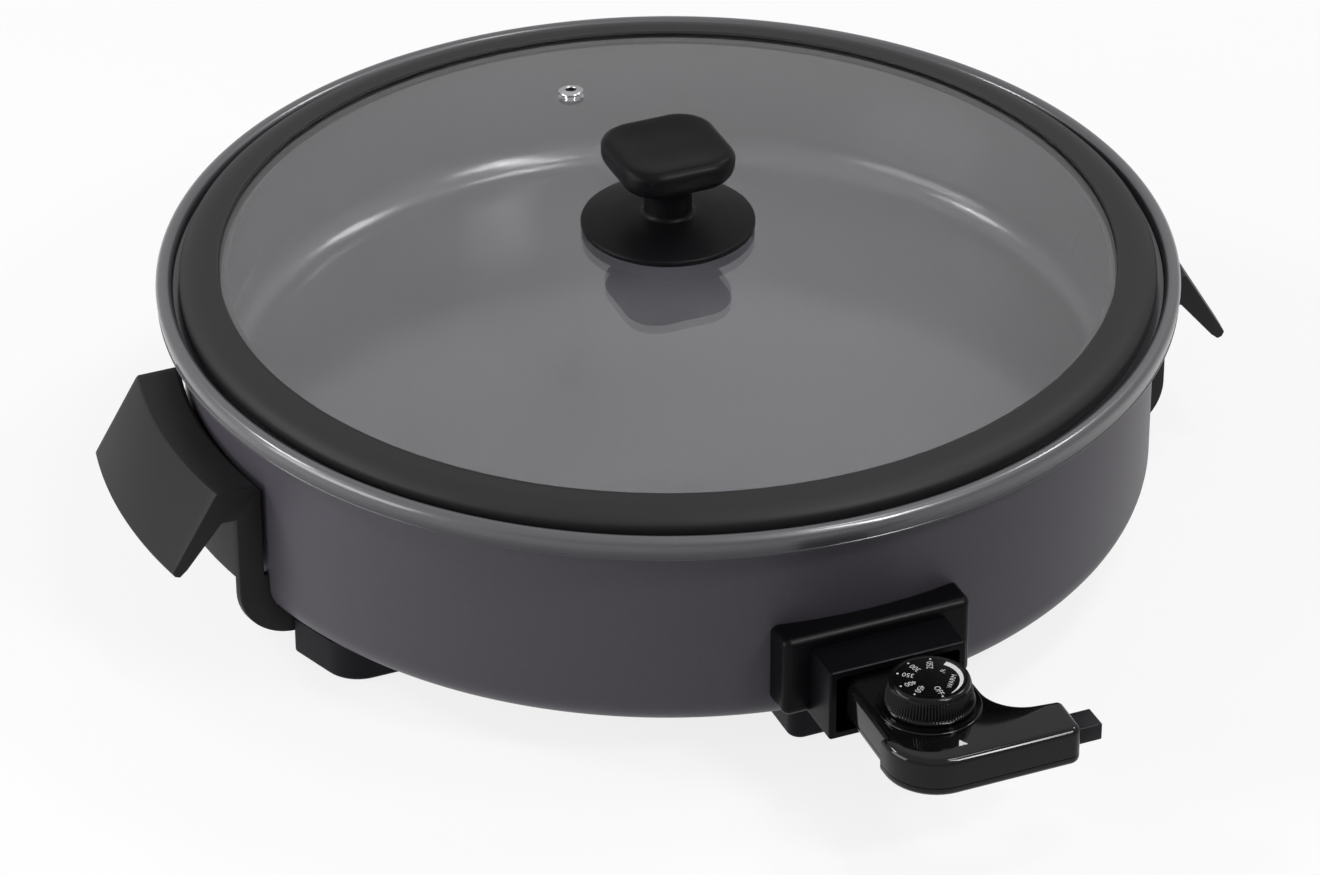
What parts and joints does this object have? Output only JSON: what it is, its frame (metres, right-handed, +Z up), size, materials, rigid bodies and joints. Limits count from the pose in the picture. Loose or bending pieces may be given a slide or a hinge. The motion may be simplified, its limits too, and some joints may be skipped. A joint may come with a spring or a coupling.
{
  "type": "electric skillet",
  "caption": "Round electric skillet: filleted pan in a painted body, side handles and feet, domed glass lid with knob, plug-in control with a turning dial.",
  "frame": {"origin": "centre of the footprint's bounding box, on the table under the feet", "axes": "+Z up; -Y towards the plug-in control, so the pan's axis stands 36.25 mm towards +Y; +X through the right handle"},
  "size_m": [0.417, 0.4385, 0.1466],
  "materials": {
    "body_paint": "satin paint over aluminium",
    "pan_coat": "satin non-stick coating",
    "handle_plastic": "matte",
    "socket_plastic": "satin",
    "control_plastic": "polished",
    "dial_plastic": "glossy",
    "knob_plastic": "matte",
    "ring_rubber": "satin silicone",
    "glass": "clear tempered",
    "bright_steel": "bright",
    "zinc_steel": "zinc plated",
    "heater_steel": "heat-tinted sheath",
    "ceramic": "unglazed",
    "brass": "plain"
  },
  "bodies": {
    "base": {"outer_shell": "body_paint", "inner_pan": "pan_coat", "heating_element": "heater_steel", "terminal_pin_left": "zinc_steel", "terminal_pin_right": "zinc_steel", "terminal_bead_left": "ceramic", "terminal_bead_right": "ceramic", "heat_reflector": "zinc_steel", "reflector_pillar_1": "zinc_steel", "reflector_pillar_2": "zinc_steel", "reflector_pillar_3": "zinc_steel", "handle_left": "handle_plastic", "handle_right": "handle_plastic", "handle_screw_1": "zinc_steel", "handle_screw_2": "zinc_steel", "handle_screw_3": "zinc_steel", "handle_screw_4": "zinc_steel", "foot_left_front": "handle_plastic", "foot_left_rear": "handle_plastic", "foot_right_front": "handle_plastic", "foot_right_rear": "handle_plastic", "foot_front": "handle_plastic", "foot_rear": "handle_plastic", "socket_housing": "socket_plastic", "socket_bracket": "zinc_steel", "socket_screw_1": "zinc_steel", "socket_screw_2": "zinc_steel", "probe_guide": "zinc_steel"},
    "lid": {"lid_glass": "glass", "vent_eyelet": "bright_steel", "lid_ring": "ring_rubber", "knob_stem": "knob_plastic", "knob_cap": "knob_plastic", "lid_gasket": "ring_rubber", "lid_washer": "bright_steel", "lid_screw": "bright_steel"},
    "control": {"control_case_lower": "control_plastic", "control_case_upper": "control_plastic", "case_screw_1": "zinc_steel", "case_screw_2": "zinc_steel", "case_screw_3": "zinc_steel", "probe_tube": "bright_steel", "contact_sleeve_left": "brass", "contact_sleeve_right": "brass", "cord_gland": "socket_plastic", "thermostat_frame": "zinc_steel", "contact_leaf": "brass"},
    "dial": {"dial": "dial_plastic", "dial_shaft": "brass"}
  },
  "joints": [
    {"name": "lid_lift", "type": "slide", "parent": "base", "child": "lid", "axis": [0, 0, 1], "range_m": [0, 0.2]},
    {"name": "control_pull", "type": "slide", "parent": "base", "child": "control", "axis": [0, -1, 0], "range_m": [0, 0.12]},
    {"name": "dial_turn", "type": "hinge", "parent": "control", "child": "dial", "pos_m": [0, -0.18725, 0.0505], "axis": [0, 0, 1], "range_deg": [-310, 0]}
  ]
}
